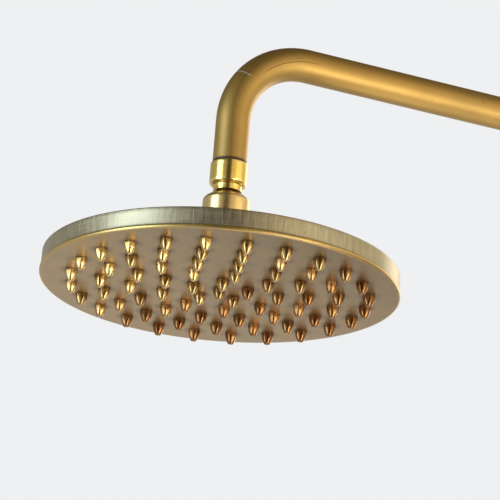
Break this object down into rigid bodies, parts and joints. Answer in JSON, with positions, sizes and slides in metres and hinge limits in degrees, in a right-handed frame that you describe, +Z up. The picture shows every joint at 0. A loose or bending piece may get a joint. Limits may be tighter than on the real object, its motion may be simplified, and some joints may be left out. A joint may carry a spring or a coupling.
{
  "type": "rainfall shower column",
  "caption": "Wall-held rigid riser with a swivelling overhead arm and a round rain head on a ball joint, in antique brass.",
  "frame": {"origin": "centre of the wall bracket's back face, on the wall", "axes": "+Z up along the riser, +Y into the wall so that the arm reaches to -Y over the user, +X to the right seen from the room"},
  "size_m": [0.2032, 0.5416, 0.7863],
  "materials": {
    "tube_brass": "antique brass tube, brushed along its length under clear lacquer",
    "spun_brass": "aged spun brass, fine brushing on the rim, dull on the spray face",
    "turned_brass": "turned and polished antique brass",
    "nozzle_brass": "turned brass, bright on the cone",
    "seal_rubber": "black nitrile",
    "liner_plastic": "white low-friction plastic",
    "screw_steel": "stainless grub screw"
  },
  "bodies": {
    "column": {"riser_tube": "tube_brass", "riser_socket": "turned_brass", "swivel_nut": "turned_brass", "bracket_clamp": "turned_brass", "bracket_screw": "screw_steel", "bracket_stem": "turned_brass", "bracket_flange": "turned_brass", "riser_tail": "turned_brass", "union_washer": "seal_rubber"},
    "arm": {"overhead_arm": "tube_brass", "swivel_spigot": "turned_brass", "spigot_seal_upper": "seal_rubber", "spigot_seal_lower": "seal_rubber", "arm_nipple": "turned_brass", "ball_stem": "turned_brass", "inlet_washer": "seal_rubber"},
    "pitch_ring": {"upper_liner": "liner_plastic"},
    "roll_ring": {"lower_liner": "liner_plastic"},
    "head": {"spray_pan": "spun_brass", "back_cover": "spun_brass", "cover_gasket": "seal_rubber", "flow_restrictor": "liner_plastic", "ball_collar": "turned_brass", "seat_washer": "seal_rubber", "nozzle_centre": "nozzle_brass", "nozzle_ring_1": "nozzle_brass", "nozzle_ring_2": "nozzle_brass", "nozzle_ring_3": "nozzle_brass", "nozzle_ring_4": "nozzle_brass", "nozzle_ring_5": "nozzle_brass"},
    "foot_nut": {"union_nut": "turned_brass"}
  },
  "joints": [
    {"name": "arm_swivel", "type": "hinge", "parent": "column", "child": "arm", "pos_m": [0, -0.06, 0.116], "axis": [0, 0, 1], "range_deg": [-75, 75]},
    {"name": "ball_pitch", "type": "hinge", "parent": "arm", "child": "pitch_ring", "pos_m": [0, -0.44, 0.1194], "axis": [1, 0, 0], "range_deg": [-10, 10]},
    {"name": "ball_roll", "type": "hinge", "parent": "pitch_ring", "child": "roll_ring", "pos_m": [0, -0.44, 0.1194], "axis": [0, 1, 0], "range_deg": [-10, 10]},
    {"name": "head_spin", "type": "hinge", "parent": "roll_ring", "child": "head", "pos_m": [0, -0.44, 0.1194], "axis": [0, 0, 1], "continuous": true},
    {"name": "union_nut_spin", "type": "hinge", "parent": "column", "child": "foot_nut", "pos_m": [0, -0.06, -0.546], "axis": [0, 0, 1], "continuous": true}
  ]
}
